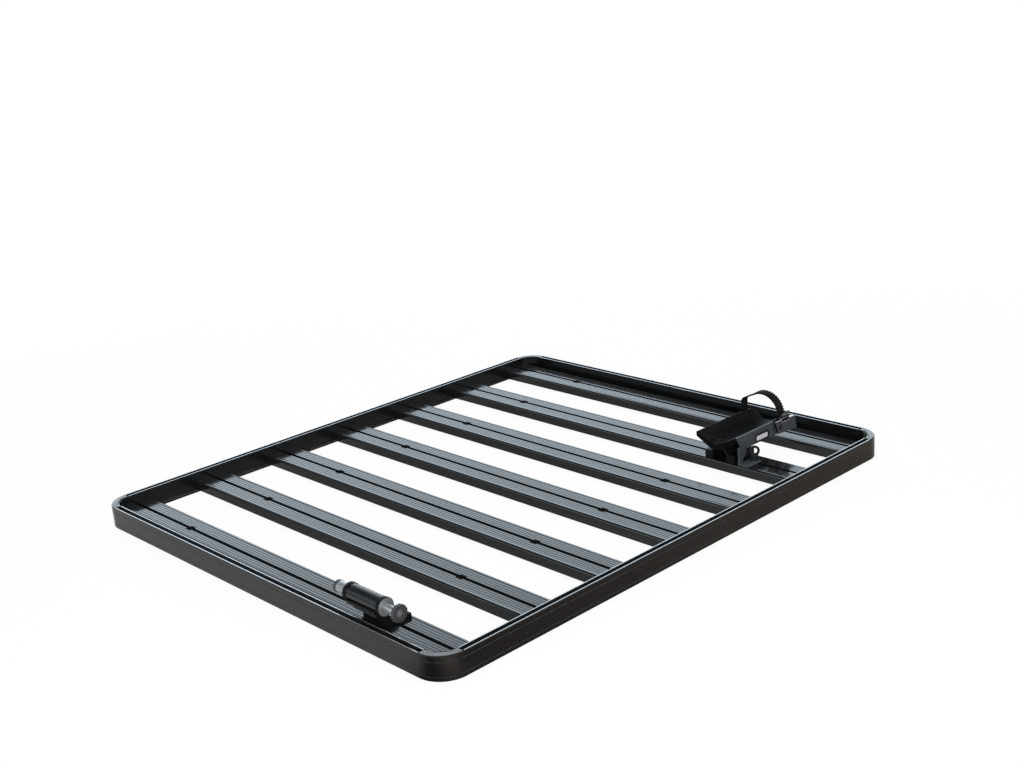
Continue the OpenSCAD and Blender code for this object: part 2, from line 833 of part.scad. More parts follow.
// Plate beside the tray, with a flange for its clamp stud
module side_plate() {
    color("#48525b") at_cradle() difference() {
        union() {
            translate([plate_x, 0, 0])
                rotate([90, 0, 90]) linear_extrude(plate_t) plate_outline();
            translate([plate_x, leg_y, 0]) cube([stud_x - plate_x + 11, 12 - leg_y, foot_plate_t]);
        }
        translate([stud_x, 0, -1]) cylinder(r = m8_r + seat_gap, h = foot_plate_t + 2);
        at_panel() linear_extrude(plate_t) round_corners(panel_l, panel_h, panel_r);
        for (s = [-1, 1])
            translate([plate_x - 1, plate_screw_y(s), lip_z - lip_h / 2]) rotate([0, 90, 0]) {
                cylinder(r = m5_r + seat_gap, h = plate_t + 2);
                translate([0, 0, 1 + plate_t - screw_head_h]) cylinder(r = screw_head_r + seat_gap, h = 10);
            }
    }
}

// Plain pale plate let into the side plate
module side_panel() {
    color("#b7c0c8") at_cradle() at_panel() linear_extrude(panel_t)
        round_corners(panel_l - 2 * seat_gap, panel_h - 2 * seat_gap, panel_r);
}

module plate_screws() {
    color("#8d9094") at_cradle() for (s = [-1, 1])
        translate([plate_x + plate_t - screw_head_h, plate_screw_y(s), lip_z - lip_h / 2])
            rotate([0, 90, 0]) round_screw(plate_t - screw_head_h + 6);
}

module clamp_stud() {
    color("#8d9094") at_cradle() translate([stud_x, 0, 0])
        slot_stud(bar_w, foot_plate_t + clamp_washer_t + clamp_collar_h - 4);
}

module clamp_washer() {
    color("#c9ccd0") at_cradle() translate([stud_x, 0, foot_plate_t]) difference() {
        cylinder(r = clamp_knob_r + 0.5, h = clamp_washer_t);
        translate([0, 0, -1]) cylinder(r = m8_r + run_gap, h = clamp_washer_t + 2);
    }
}

// Eye nut: a collar on the stud and a ring to turn it by
module clamp_knob() {
    color("#25272a") at_cradle() translate([stud_x, 0, foot_plate_t + clamp_washer_t]) difference() {
        union() {
            cylinder(r = clamp_knob_r, h = clamp_collar_h);
            translate([0, 0, clamp_collar_h + clamp_ring_r - clamp_sink]) rotate([90, 0, 45])
                rotate_extrude() translate([clamp_ring_r, 0]) circle(r = clamp_bar_r);
        }
        translate([0, 0, -1]) cylinder(r = m8_r + run_gap, h = clamp_collar_h - 2);
    }
}

// Ratchet buckle

// Runs its children about a cross pin, with +Z along the bike and the pin's middle at the strap's
module at_pin(x, z) {
    at_cradle() translate([x, strap_y, z]) rotate([-90, 0, 0]) children();
}

// Back plate on the tray's pad and two ears for the cross pins
module buckle_base() {
    ear_in = pad_x;
    color("#2e3134") at_cradle() difference() {
        union() {
            translate([pad_x, strap_y - ear_gap / 2 - buckle_t, pad_bottom])
                cube([buckle_t, ear_gap + 2 * buckle_t, lip_z - pad_drop - pad_bottom]);
            for (s = [0, 1])
                translate([ear_in, strap_y + (s ? ear_gap / 2 : -ear_gap / 2 - buckle_t), ear_bottom])
                    cube([ear_out - ear_in, buckle_t, ear_top - ear_bottom]);
        }
        for (p = [[lever_pin_x, lever_pin_z], [tab_x, tab_z]])
            translate([p[0], strap_y - pad_l, p[1]])
                rotate([-90, 0, 0]) cylinder(r = pin_r + run_gap, h = 2 * pad_l);
        for (z = pad_screw_z)
            translate([pad_x - 1, strap_y, z]) rotate([0, 90, 0]) cylinder(r = m3_r + seat_gap, h = 4);
    }
}

// Small flat-headed screws that hold a plate to a pad
module pad_screws(s) {
    for (z = pad_screw_z)
        translate([s * (pad_x + buckle_t), strap_y, z]) rotate([0, 90 * s, 0]) {
            cylinder(r = 2.6, h = 0.8);
            translate([0, 0, -buckle_t - 4]) cylinder(r = m3_r, h = buckle_t + 4 + eps);
        }
}

module buckle_screws() { color("#8d9094") at_cradle() pad_screws(1); }

module anchor_screws() { color("#8d9094") at_cradle() pad_screws(-1); }

// Broad hand lever with two cheeks on its pin and a rim along its top
module ratchet_lever() {
    inner = ear_gap / 2 + buckle_t + pass_gap;
    rim_from = strap_y + inner;
    rim_to = lever_front + lever_l;
    top = lever_top;
    color("#4b555e") at_cradle() difference() {
        union() {
            translate([lever_x, 0, 0]) rotate([90, 0, 90]) linear_extrude(lever_t)
                polygon([[lever_front, top], [lever_front + 13, top - lever_h + lever_drop],
                    [lever_front + lever_l + 7, top - lever_h],
                    [lever_front + lever_l, top - lever_drop]]);
            translate([lever_x - lever_rim, 0, 0]) rotate([90, 0, 90]) linear_extrude(lever_rim + eps)
                polygon([[rim_from, lever_edge(rim_from)], [rim_from, lever_edge(rim_from) - lever_rim_t],
                    [rim_to, lever_edge(rim_to) - lever_rim_t], [rim_to, lever_edge(rim_to)]]);
            for (s = [0, 1])
                translate([lever_pin_x - 2.5, strap_y + (s ? inner : -inner - cheek_t), pawl_z - 4])
                    cube([lever_x - lever_pin_x + 3, cheek_t, lever_pin_z - pawl_z + 6.5]);
        }
        translate([lever_x - 1, strap_y - inner, lever_pin_z - 6]) cube([lever_t + 2, 2 * inner, 20]);
        for (p = [[lever_pin_x, lever_pin_z, pin_r], [pawl_x, pawl_z, pawl_pin_r]])
            translate([p[0], strap_y - pad_l, p[1]])
                rotate([-90, 0, 0]) cylinder(r = p[2] + run_gap, h = 2 * pad_l);
        translate([lever_x - 1, rivet_y, rivet_z])
            rotate([0, 90, 0]) cylinder(r = 2 + run_gap, h = lever_t + 2);
    }
}

module lever_rivet() {
    color("#c9ccd0") at_cradle() translate([lever_x - 0.8, rivet_y, rivet_z]) rotate([0, 90, 0]) {
        cylinder(r = 2, h = lever_t + 1);
        translate([0, 0, lever_t + 0.8]) cylinder(r = 3.6, h = 1.4);
        cylinder(r = 3, h = 0.8);
    }
}

module lever_pin() {
    reach = ear_gap + 2 * (buckle_t + pass_gap + cheek_t);
    color("#c9ccd0") at_pin(lever_pin_x, lever_pin_z) cylinder(r = pin_r, h = reach, center = true);
}

module pawl_pin() {
    reach = ear_gap + 2 * (buckle_t + pass_gap + cheek_t);
    color("#c9ccd0") at_pin(pawl_x, pawl_z) cylinder(r = pawl_pin_r, h = reach, center = true);
}

module drive_pawl() {
    tip_z = pawl_z - 4.5;
    reach = strap_w / 2 - 1;
    tip_x = from_anchor(strap_out, tip_z) + pass_gap;
    color("#5b5e62") difference() {
        union() {
            at_pin(pawl_x, pawl_z) cylinder(r = pawl_r, h = 2 * reach, center = true);
            at_cradle() along_y(strap_y - reach, strap_y + reach)
                polygon([[pawl_x - 1.5, pawl_z], [pawl_x + 1.5, pawl_z], [tip_x + 1.1, tip_z - 0.6],
                    [tip_x, tip_z]]);
        }
        at_pin(pawl_x, pawl_z) cylinder(r = pawl_pin_r + run_gap, h = 3 * reach, center = true);
    }
}

// Thumb tab whose nose sits over the strap's teeth
module release_tab() {
    from = strap_y + ear_gap / 2 - pass_gap - tab_w;
    nose_z = tab_z - 4;
    nose_x = from_anchor(strap_out, nose_z) + pass_gap;
    color("#5b5e62") difference() {
        union() {
            at_pin(tab_x, tab_z) translate([0, 0, from - strap_y]) cylinder(r = tab_r, h = tab_w);
            at_cradle() along_y(from, from + tab_w)
                polygon([[tab_x - 2.6, tab_z], [tab_x + 1.5, tab_z - 2.4], [nose_x + 1.2, nose_z - 0.4],
                    [nose_x, nose_z]]);
            at_cradle() along_y(from, from + tab_w)
                polygon([[tab_x - 1, tab_z + 2], [tab_x + 2.4, tab_z], [tab_x + 7, tab_z + 8],
                    [tab_x + 5.2, tab_z + 9.4]]);
        }
        at_pin(tab_x, tab_z) cylinder(r = pin_r + run_gap, h = 2 * ear_gap, center = true);
    }
}

module tab_pin() {
    reach = ear_gap + 2 * buckle_t + 1;
    color("#c9ccd0") at_pin(tab_x, tab_z) cylinder(r = pin_r, h = reach, center = true);
}

// Round tube along a list of points, with its ends closed
module wire(path, r, sides = 6) {
    n = len(path);
    along = [for (i = [0 : n - 1])
        let (d = path[min(i + 1, n - 1)] - path[max(i - 1, 0)]) d / norm(d)];
    ring = [for (i = [0 : n - 1]) let (a = cross(along[i], [0, 0, 1]), u = a / norm(a),
        v = cross(along[i], u)) for (k = [0 : sides - 1])
            path[i] + r * (cos(360 * k / sides) * u + sin(360 * k / sides) * v)];
    walls = [for (i = [0 : n - 2], k = [0 : sides - 1]) let (a = i * sides + k,
        b = i * sides + (k + 1) % sides) each [[a, a + sides, b], [b, a + sides, b + sides]]];
    first = [for (k = [1 : sides - 2]) [0, k, k + 1]];
    last = [for (k = [1 : sides - 2]) [(n - 1) * sides, (n - 1) * sides + k + 1, (n - 1) * sides + k]];
    polyhedron(points = ring, faces = concat(walls, first, last));
}

// Coil round the tab's pin, beside the tab
module tab_spring() {
    start = -ear_gap / 2 + spring_wire;
    pitch = spring_wire + 0.6;
    rings = 8;
    coil_r = pin_r + 0.3 + spring_wire / 2;
    path = [for (i = [0 : spring_turns * rings])
        [coil_r * cos(360 * i / rings), coil_r * sin(360 * i / rings), start + pitch * i / rings]];
    color("#c9ccd0") at_pin(tab_x, tab_z) wire(path, spring_wire / 2);
}

// Strap

// Front view: a tail round the anchor, a crest over the wheel, a fall and a leg down to the eye
module strap_outline() {
    inner = concat(arc_points(anchor, strap_in, tail_low, crest_high, 12),
        arc_points(crest, crest_r, crest_high, crest_end, 24),
        arc_points(bend, bend_r, crest_end, 180, 6),
        [[strap_left, bend[1]], [strap_left, leg_foot]]);
    outer = concat(arc_points(anchor, strap_in + strap_t, tail_low, crest_high, 1),
        teeth_points(anchor, strap_in + strap_t, tail_low, crest_high),
        teeth_points(crest, crest_r + strap_t, crest_high, crest_end),
        arc_points(bend, bend_r + strap_t, crest_end, 180, 6),
        [[strap_left - strap_t, bend[1]], [strap_left - strap_t, leg_foot]]);
    polygon(concat(inner, [for (i = [len(outer) - 1 : -1 : 0]) outer[i]]));
}

module ratchet_strap() {
    color("#1a1b1d") difference() {
        union() {
            at_cradle() along_y(strap_y - strap_w / 2, strap_y + strap_w / 2) strap_outline();
            at_pin(anchor_x, anchor_z) cylinder(r = eye_r, h = strap_w, center = true);
        }
        at_pin(anchor_x, anchor_z) cylinder(r = pin_r + run_gap, h = 2 * strap_w, center = true);
    }
}

// Clevis on the far pad for the strap's eye
module strap_anchor() {
    reach = -pad_x - anchor_x + eye_r;
    color("#2e3134") at_cradle() difference() {
        union() {
            translate([-pad_x - buckle_t, strap_y - ear_gap / 2 - buckle_t, pad_bottom])
                cube([buckle_t, ear_gap + 2 * buckle_t, lip_z - pad_drop - pad_bottom]);
            for (s = [0, 1])
                translate([-pad_x - reach, strap_y + (s ? ear_gap / 2 : -ear_gap / 2 - buckle_t),
                    anchor_z - eye_r]) cube([reach, buckle_t, 2 * eye_r]);
        }
        translate([anchor_x, strap_y - pad_l, anchor_z])
            rotate([-90, 0, 0]) cylinder(r = pin_r + run_gap, h = 2 * pad_l);
        for (z = pad_screw_z)
            translate([-pad_x + 1, strap_y, z]) rotate([0, -90, 0]) cylinder(r = m3_r + seat_gap, h = 4);
    }
}

module anchor_pin() {
    reach = ear_gap + 2 * buckle_t + 1;
    color("#c9ccd0") at_pin(anchor_x, anchor_z) cylinder(r = pin_r, h = reach, center = true);
}

front_rail();
rear_rail();
left_rail();
right_rail();
corner_front_left();
corner_front_right();
corner_rear_left();
corner_rear_right();
slat_1();
slat_2();
slat_3();
slat_4();
slat_5();
slat_6();
slat_7();
slat_brackets();
rail_bolts();
rail_nuts();
slat_screws();
corner_screws();
fork_block();
fork_tube();
tube_collars();
axle_cap_left();
axle_cap_right();
tube_screws();
fork_stud_bar();
fork_nuts();
fork_axle();
axle_head();
knob_washer();
axle_knob();
cradle_base();
wheel_tray();
side_plate();
side_panel();
plate_screws();
tray_screws();
cradle_stud_bar();
cradle_nuts();
clamp_stud();
clamp_washer();
clamp_knob();
buckle_base();
buckle_screws();
ratchet_lever();
lever_pin();
lever_rivet();
drive_pawl();
pawl_pin();
release_tab();
tab_pin();
tab_spring();
ratchet_strap();
strap_anchor();
anchor_screws();
anchor_pin();
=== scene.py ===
# %% [markdown]
# A roof platform with a bike mount, dressed for the camera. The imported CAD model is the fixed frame:
# every rail, slat, knob and strap is already at its size and place, in metres. This lesson gives the
# pieces their small roundings, their finishes, a studio and a camera.

# %% Load the frame
import json
import math
import bpy
from mathutils import Matrix, Vector

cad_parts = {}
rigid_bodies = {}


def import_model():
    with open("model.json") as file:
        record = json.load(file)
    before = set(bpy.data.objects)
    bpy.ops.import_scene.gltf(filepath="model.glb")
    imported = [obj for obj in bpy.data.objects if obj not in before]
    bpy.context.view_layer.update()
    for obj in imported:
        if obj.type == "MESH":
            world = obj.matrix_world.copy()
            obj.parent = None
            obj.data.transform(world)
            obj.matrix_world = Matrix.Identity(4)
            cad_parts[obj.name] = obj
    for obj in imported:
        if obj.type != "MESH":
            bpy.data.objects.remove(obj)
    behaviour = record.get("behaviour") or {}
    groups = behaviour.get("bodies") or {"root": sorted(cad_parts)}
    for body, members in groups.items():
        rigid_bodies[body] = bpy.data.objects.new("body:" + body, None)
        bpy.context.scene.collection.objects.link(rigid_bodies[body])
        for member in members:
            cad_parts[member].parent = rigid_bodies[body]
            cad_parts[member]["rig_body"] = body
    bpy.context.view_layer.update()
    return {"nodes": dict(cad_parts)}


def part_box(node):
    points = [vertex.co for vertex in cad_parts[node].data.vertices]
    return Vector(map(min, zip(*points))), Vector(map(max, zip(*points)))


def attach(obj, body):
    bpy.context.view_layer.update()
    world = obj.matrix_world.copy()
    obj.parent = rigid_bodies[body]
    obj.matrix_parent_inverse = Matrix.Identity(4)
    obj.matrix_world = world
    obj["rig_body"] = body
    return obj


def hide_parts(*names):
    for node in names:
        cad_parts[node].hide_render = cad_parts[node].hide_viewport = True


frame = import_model()
nodes = frame["nodes"]

# %% [markdown]
# The camera stands to the front right, a little above the platform, with a slight roll. Its three
# axes are worked out from an azimuth, an elevation and the roll, so that each can be read and changed.

# %% Camera
AZIMUTH, ELEVATION, ROLL = math.radians(47.59), math.radians(17.82), math.radians(-4.473)
AIM, DISTANCE = Vector((-0.526636, 0.548719, 0.0)), 3.93684
FOCAL_PIXELS, PICTURE_PIXELS, SENSOR_MM = 1405.04, 1024.0, 36.0
back = Vector((math.sin(AZIMUTH) * math.cos(ELEVATION), -math.cos(AZIMUTH) * math.cos(ELEVATION),
               math.sin(ELEVATION)))
level = Vector((math.cos(AZIMUTH), math.sin(AZIMUTH), 0.0))
upright = back.cross(level)
across = math.cos(ROLL) * level + math.sin(ROLL) * upright
upward = math.cos(ROLL) * upright - math.sin(ROLL) * level

camera_data = bpy.data.cameras.new("camera")
camera_data.lens = FOCAL_PIXELS * SENSOR_MM / PICTURE_PIXELS
camera_data.clip_end = 60.0
camera = bpy.data.objects.new("camera", camera_data)
camera.matrix_world = Matrix.Translation(AIM + DISTANCE * back) @ Matrix(
    (across, upward, back)).transposed().to_4x4()
bpy.context.scene.collection.objects.link(camera)
bpy.context.scene.camera = camera
print("camera at", [round(x, 3) for x in camera.location], "lens", round(camera_data.lens, 2))

# %% [markdown]
# The studio is a white room. A black product in a white room is lit the way a photographer does it:
# what the metal mirrors decides how it looks, so much of the room is dim for reflections. One bright
# wall stands low behind the platform, on the side away from the camera. The flat tops of the slats
# mirror it at a grazing angle and turn silver, while upright faces mirror the dim parts and stay
# black. Softer walls on the other sides and a pale ceiling do the same for other views. Light Path
# tells the world which kind of ray asks: the camera sees plain white.

# %% World
scene = bpy.context.scene
scene.view_settings.view_transform = "Standard"
world = bpy.data.worlds.new("white_room")
scene.world = world
world.use_nodes = True
sky = world.node_tree
BRIGHT_WALL = Vector((-0.74, 0.67, 0.0))
WALL_LIGHT, SIDE_LIGHT, ROOM_LIGHT = 2.0, 1.4, 0.30
WALL_SPREAD, SIDE_SPREAD = (0.20, 0.88), (0.35, -0.10)
WALL_TOP, SIDE_FOOT = (0.70, 0.36), (0.06, 0.24)
CEILING_RISE, CEILING_LIGHT = (0.76, 0.96), (0.03, 0.34)


def math_node(tree, operation, first, second):
    node = tree.nodes.new("ShaderNodeMath")
    node.operation = operation
    for socket, value in zip(node.inputs, (first, second)):
        if isinstance(value, (int, float)):
            socket.default_value = value
        else:
            tree.links.new(value, socket)
    return node.outputs[0]


def smooth_range(tree, value, start, stop, low=0.0, high=1.0):
    """Runs smoothly from low to high while the value runs from start to stop."""
    node = tree.nodes.new("ShaderNodeMapRange")
    node.interpolation_type = "SMOOTHSTEP"
    for name, number in (("From Min", start), ("From Max", stop), ("To Min", low), ("To Max", high)):
        node.inputs[name].default_value = number
    tree.links.new(value, node.inputs["Value"])
    return node.outputs[0]


def mixed(tree, factor, first, second):
    node = tree.nodes.new("ShaderNodeMixShader")
    tree.links.new(factor, node.inputs[0])
    tree.links.new(first.outputs[0], node.inputs[1])
    tree.links.new(second.outputs[0], node.inputs[2])
    return node


room_fill = sky.nodes["Background"]
room_fill.inputs["Color"].default_value = (0.93, 0.96, 1.0, 1)
room_fill.inputs["Strength"].default_value = ROOM_LIGHT
seen_white = sky.nodes.new("ShaderNodeBackground")
seen_white.inputs["Color"].default_value = (1, 1, 1, 1)
mirrored = sky.nodes.new("ShaderNodeBackground")
mirrored.inputs["Color"].default_value = (0.79, 0.905, 1.0, 1)
heading = sky.nodes.new("ShaderNodeTexCoord")
toward_wall = sky.nodes.new("ShaderNodeVectorMath")
toward_wall.operation = "DOT_PRODUCT"
toward_wall.inputs[1].default_value = BRIGHT_WALL
sky.links.new(heading.outputs["Generated"], toward_wall.inputs[0])
height = sky.nodes.new("ShaderNodeSeparateXYZ")
sky.links.new(heading.outputs["Generated"], height.inputs[0])
facing, rise = toward_wall.outputs["Value"], height.outputs["Z"]
low = smooth_range(sky, rise, *WALL_TOP)
wall = math_node(sky, "MULTIPLY", smooth_range(sky, facing, *WALL_SPREAD), WALL_LIGHT)
side_walls = math_node(sky, "MULTIPLY", smooth_range(sky, facing, *SIDE_SPREAD), SIDE_LIGHT)
side_walls = math_node(sky, "MULTIPLY", side_walls, smooth_range(sky, rise, *SIDE_FOOT))
walls = math_node(sky, "MULTIPLY", math_node(sky, "ADD", wall, side_walls), low)
ceiling = smooth_range(sky, rise, *CEILING_RISE, *CEILING_LIGHT)
sky.links.new(math_node(sky, "ADD", walls, ceiling), mirrored.inputs["Strength"])
rays = sky.nodes.new("ShaderNodeLightPath")
seen = math_node(sky, "MAXIMUM", rays.outputs["Is Camera Ray"], rays.outputs["Is Transmission Ray"])
room = mixed(sky, rays.outputs["Is Glossy Ray"], room_fill, mirrored)
sky.links.new(mixed(sky, seen, room, seen_white).outputs[0], sky.nodes["World Output"].inputs[0])
print("world:", world.name, "bright wall toward", BRIGHT_WALL[:2])

# %% [markdown]
# The floor is a wide sheet of white paper. The camera sees it nearly white, with a share of the real
# shading close to the platform, so a faint shadow stays and the far paper has no seam. Upright faces
# mirror a glow painted on the paper just in front of them. Like a photographer's cards on the floor,
# soft bright patches of painted glow lie where a face should lighten, and the paper under the
# platform is dim. On the right the painted glow is a little warm, a painted warm reflection.

# %% Floor
FLOOR_SIZE, FLOOR_DROP, PAPER_GLOW = 160, 0.0005, 0.19
WARM_EDGE, WARM_GLOW_TINT = (0.52, 0.60), (1.0, 0.87, 0.74, 1)
NEAR, FAR, NEAR_WHITE = 1.0, 3.0, 0.94
# Each card: its middle, half its size, how soft its edge is and its strength. A minus sign darkens.
CARDS = [((-0.42, -1.10), (0.91, 0.50), 0.07, 0.43),
         ((0.72, -0.70), (0.12, 0.07), 0.05, 0.55),
         ((1.10, 1.05), (0.55, 1.2), 0.50, 0.26),
         ((0.575, -0.80), (0.05, 0.13), 0.03, -0.18),
         ((-1.15, 0.10), (0.50, 1.10), 0.25, 0.35),
         ((-0.10, 1.25), (1.00, 0.50), 0.25, 0.35)]
bpy.ops.object.select_all(action="DESELECT")
bpy.ops.mesh.primitive_plane_add(size=FLOOR_SIZE, location=(0, 0, 0))
floor = bpy.context.active_object
floor.name = "floor"
floor.data.transform(Matrix.Translation((0, 0, -FLOOR_DROP)))
paper = bpy.data.materials.new("floor_paper")
paper.use_nodes = True
sheet = paper.node_tree
lit_paper = sheet.nodes["Principled BSDF"]
lit_paper.inputs["Base Color"].default_value = (0.86, 0.86, 0.86, 1)
lit_paper.inputs["Roughness"].default_value = 0.9
lit_paper.inputs["Specular IOR Level"].default_value = 0.1
white_paper = sheet.nodes.new("ShaderNodeEmission")
card_light = sheet.nodes.new("ShaderNodeEmission")
floor_place = sheet.nodes.new("ShaderNodeTexCoord").outputs["Object"]


def card(center, half_size, soft, strength):
    """A soft-edged bright patch on the paper: 0 outside, strength inside."""
    lay = sheet.nodes.new("ShaderNodeMapping")
    lay.vector_type = "TEXTURE"
    lay.inputs["Location"].default_value = (*center, 0)
    sheet.links.new(floor_place, lay.inputs["Vector"])
    axes = sheet.nodes.new("ShaderNodeSeparateXYZ")
    sheet.links.new(lay.outputs[0], axes.inputs[0])
    inside = None
    for axis, half in zip("XY", half_size):
        reach = math_node(sheet, "ABSOLUTE", axes.outputs[axis], 0.0)
        share = smooth_range(sheet, reach, half + soft, half - soft)
        inside = share if inside is None else math_node(sheet, "MULTIPLY", inside, share)
    return math_node(sheet, "MULTIPLY", inside, strength)


card_sum = PAPER_GLOW
for row in CARDS:
    card_sum = math_node(sheet, "ADD", card_sum, card(*row))
sheet.links.new(card_sum, card_light.inputs["Strength"])
floor_axes = sheet.nodes.new("ShaderNodeSeparateXYZ")
sheet.links.new(floor_place, floor_axes.inputs[0])
# Towards the right the painted glow turns warm: a painted warm reflection.
warm_side = sheet.nodes.new("ShaderNodeMix")
warm_side.data_type = "RGBA"
warm_side.inputs["A"].default_value = (1, 1, 1, 1)
warm_side.inputs["B"].default_value = WARM_GLOW_TINT
sheet.links.new(smooth_range(sheet, floor_axes.outputs["X"], *WARM_EDGE), warm_side.inputs["Factor"])
sheet.links.new(warm_side.outputs["Result"], card_light.inputs["Color"])
away = sheet.nodes.new("ShaderNodeVectorMath")
away.operation = "LENGTH"
sheet.links.new(floor_place, away.inputs[0])
floor_rays = sheet.nodes.new("ShaderNodeLightPath")
seen_share = math_node(sheet, "MULTIPLY", floor_rays.outputs["Is Camera Ray"],
                       smooth_range(sheet, away.outputs["Value"], NEAR, FAR, NEAR_WHITE, 1.0))
seen_share = math_node(sheet, "MAXIMUM", seen_share, floor_rays.outputs["Is Transmission Ray"])
plain_paper = mixed(sheet, floor_rays.outputs["Is Glossy Ray"], lit_paper, card_light)
sheet.links.new(mixed(sheet, seen_share, plain_paper, white_paper).outputs[0],
                sheet.nodes["Material Output"].inputs[0])
floor.data.materials.append(paper)
print("floor", floor.dimensions[:2], "cards", len(CARDS))

# %% [markdown]
# Three large, soft lamps give the plain light: a cool one behind, above the bright wall, one high over
# the platform and a warm one by the camera, which rounds off the near corner. Mirroring is left to the
# room and the paper, so reflections don't show the lamps.

# %% Lamps


def soft_lamp(name, place, aim, size, watts, tint=(1, 1, 1)):
    lamp_data = bpy.data.lights.new(name, "AREA")
    lamp_data.shape = "RECTANGLE"
    lamp_data.size, lamp_data.size_y = size
    lamp_data.energy = watts
    lamp_data.color = tint
    lamp = bpy.data.objects.new(name, lamp_data)
    lamp.location = place
    lamp.rotation_euler = (Vector(aim) - Vector(place)).to_track_quat("-Z", "Y").to_euler()
    lamp.visible_glossy = False
    scene.collection.objects.link(lamp)


soft_lamp("back_softbox", (-3.4, 3.2, 1.9), (0, 0, 0), (4.5, 1.6), 110, (0.90, 0.96, 1.0))
soft_lamp("top_softbox", (0.2, 0.2, 3.2), (0, 0, 0), (2.5, 2.5), 60)
soft_lamp("front_fill", (2.6, -2.6, 1.2), (0.5, -0.5, 0), (1.2, 1.2), 100, (1.0, 0.96, 0.92))

# %% [markdown]
# Real edges are never knife sharp: an extrusion's corners are broken and a moulding's are rounded, and
# the thin bright line along them is what makes a part look real. A CAD node's mesh is loose triangles,
# so a copy of it is merged, its flat faces are made whole, and a Bevel modifier rounds its sharp edges.
# The top edges that run round the platform can have a wider rounding, the crown.

# %% A helper that rounds a copy of a CAD node
CENTER_X, CENTER_Y, OUTER_R, INNER_R, RAIL_TOP = 0.5245, 0.621, 0.058, 0.040, 0.049
SAME_PLACE, MERGE_WITHIN = 0.0001, 0.000004
FLAT_ANGLE, SHARP_ANGLE = math.radians(0.3), math.radians(35)


def on_crown(point):
    """True on the two top edges, outer and inner, that run round the whole platform."""
    reach = math.hypot(max(abs(point.x) - CENTER_X, 0.0), max(abs(point.y) - CENTER_Y, 0.0))
    from_edge = min(abs(reach - OUTER_R), abs(reach - INNER_R))
    return abs(point.z - RAIL_TOP) < SAME_PLACE and from_edge < SAME_PLACE


def rounded(node, width, segments=2, crown=0.0):
    """A copy of the node with its sharp edges rounded, which stands in for it."""
    source = nodes[node]
    bpy.ops.object.select_all(action="DESELECT")
    piece = bpy.data.objects.new(node + "_finished", source.data.copy())
    scene.collection.objects.link(piece)
    piece.select_set(True)
    bpy.context.view_layer.objects.active = piece
    bpy.ops.object.mode_set(mode="EDIT")
    bpy.ops.mesh.select_mode(type="EDGE")
    bpy.ops.mesh.select_all(action="SELECT")
    bpy.ops.mesh.remove_doubles(threshold=MERGE_WITHIN)
    bpy.ops.mesh.dissolve_limited(angle_limit=FLAT_ANGLE)
    bpy.ops.mesh.select_all(action="DESELECT")
    bpy.ops.mesh.edges_select_sharp(sharpness=SHARP_ANGLE)
    bpy.ops.transform.edge_bevelweight(value=width / max(width, crown))
    bpy.ops.object.mode_set(mode="OBJECT")
    if crown:
        weights = piece.data.attributes["bevel_weight_edge"].data
        for edge in piece.data.edges:
            if all(on_crown(piece.data.vertices[v].co) for v in edge.vertices):
                weights[edge.index].value = 1.0
    bevel = piece.modifiers.new("broken_edges", "BEVEL")
    bevel.width = max(width, crown)
    bevel.segments = segments
    bevel.limit_method = "WEIGHT"
    bevel.use_clamp_overlap = False
    bevel.miter_outer = "MITER_ARC"
    bevel.harden_normals = True
    bpy.ops.object.shade_smooth_by_angle(angle=SHARP_ANGLE)
    bpy.ops.object.modifier_apply(modifier="broken_edges")
    piece.data.materials.clear()
    body = source["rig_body"]
    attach(piece, body)
    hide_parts(node)
    return piece


# %% [markdown]
# Each finish is a small node tree on a Principled shader. They all read Object coordinates, so a
# pattern stays on the piece when it moves. A helper makes the tree and returns what the cells wire up.

# %% Helpers for finishes
EDGE_TURN, UP_TURN = (0.99, 0.85), (0.80, 0.97)


def new_finish(name, color, roughness, metallic=0.0, specular=0.5):
    finish = bpy.data.materials.new(name)
    finish.use_nodes = True
    tree = finish.node_tree
    shader = tree.nodes["Principled BSDF"]
    shader.inputs["Base Color"].default_value = (*color, 1)
    shader.inputs["Roughness"].default_value = roughness
    shader.inputs["Metallic"].default_value = metallic
    shader.inputs["Specular IOR Level"].default_value = specular
    place = tree.nodes.new("ShaderNodeTexCoord")
    return finish, tree, shader, place.outputs["Object"]


def noise(tree, place, scale, detail=4.0, stretch=(1, 1, 1)):
    mapping = tree.nodes.new("ShaderNodeMapping")
    mapping.inputs["Scale"].default_value = stretch
    texture = tree.nodes.new("ShaderNodeTexNoise")
    texture.inputs["Scale"].default_value = scale
    texture.inputs["Detail"].default_value = detail
    tree.links.new(place, mapping.inputs["Vector"])
    tree.links.new(mapping.outputs[0], texture.inputs["Vector"])
    return texture.outputs["Fac"]


def ramp(tree, factor, low, high, start=0.3, stop=0.7):
    node = tree.nodes.new("ShaderNodeValToRGB")
    node.color_ramp.elements[0].position, node.color_ramp.elements[1].position = start, stop
    node.color_ramp.elements[0].color = (*low, 1)
    node.color_ramp.elements[1].color = (*high, 1)
    tree.links.new(factor, node.inputs[0])
    return node.outputs["Color"]


def spread(tree, factor, low, high):
    node = tree.nodes.new("ShaderNodeMapRange")
    node.inputs["To Min"].default_value, node.inputs["To Max"].default_value = low, high
    tree.links.new(factor, node.inputs["Value"])
    return node.outputs[0]


def bump(tree, shader, height, strength, distance):
    node = tree.nodes.new("ShaderNodeBump")
    node.inputs["Strength"].default_value = strength
    node.inputs["Distance"].default_value = distance
    tree.links.new(height, node.inputs["Height"])
    tree.links.new(node.outputs[0], shader.inputs["Normal"])


def color_mix(tree, factor, first, second):
    mix = tree.nodes.new("ShaderNodeMix")
    mix.data_type = "RGBA"
    mix.inputs["B"].default_value = (*second, 1)
    tree.links.new(factor, mix.inputs["Factor"])
    tree.links.new(first, mix.inputs["A"])
    return mix.outputs["Result"]


